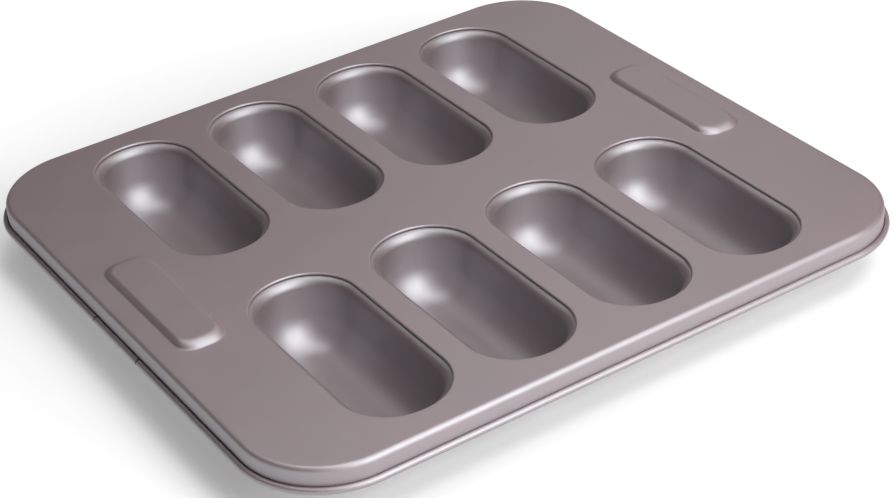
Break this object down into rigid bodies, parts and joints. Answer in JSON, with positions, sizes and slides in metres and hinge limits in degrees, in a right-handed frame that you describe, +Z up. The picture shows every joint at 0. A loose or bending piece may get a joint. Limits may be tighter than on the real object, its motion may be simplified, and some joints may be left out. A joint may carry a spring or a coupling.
{
  "type": "mini loaf pan",
  "caption": "Baking pan whose flat deck carries rows of round-ended loaf cups, with raised grips at its short ends and a skirt rolled over a wire.",
  "frame": {"origin": "middle of the pan in plan, at the underside of the cup floors", "axes": "+X along the long sides and the rows of cups, +Y across the rows, +Z up"},
  "size_m": [0.3316, 0.3016, 0.0341],
  "materials": {
    "frame_coating": "satin non-stick coating",
    "cup_coating": "satin non-stick coating",
    "wire_steel": "drawn wire"
  },
  "bodies": {
    "root": {"deck_frame": "frame_coating", "rim_wire": "wire_steel", "loaf_cup_row1_1": "cup_coating", "loaf_cup_row1_2": "cup_coating", "loaf_cup_row1_3": "cup_coating", "loaf_cup_row1_4": "cup_coating", "loaf_cup_row2_1": "cup_coating", "loaf_cup_row2_2": "cup_coating", "loaf_cup_row2_3": "cup_coating", "loaf_cup_row2_4": "cup_coating"}
  },
  "joints": []
}
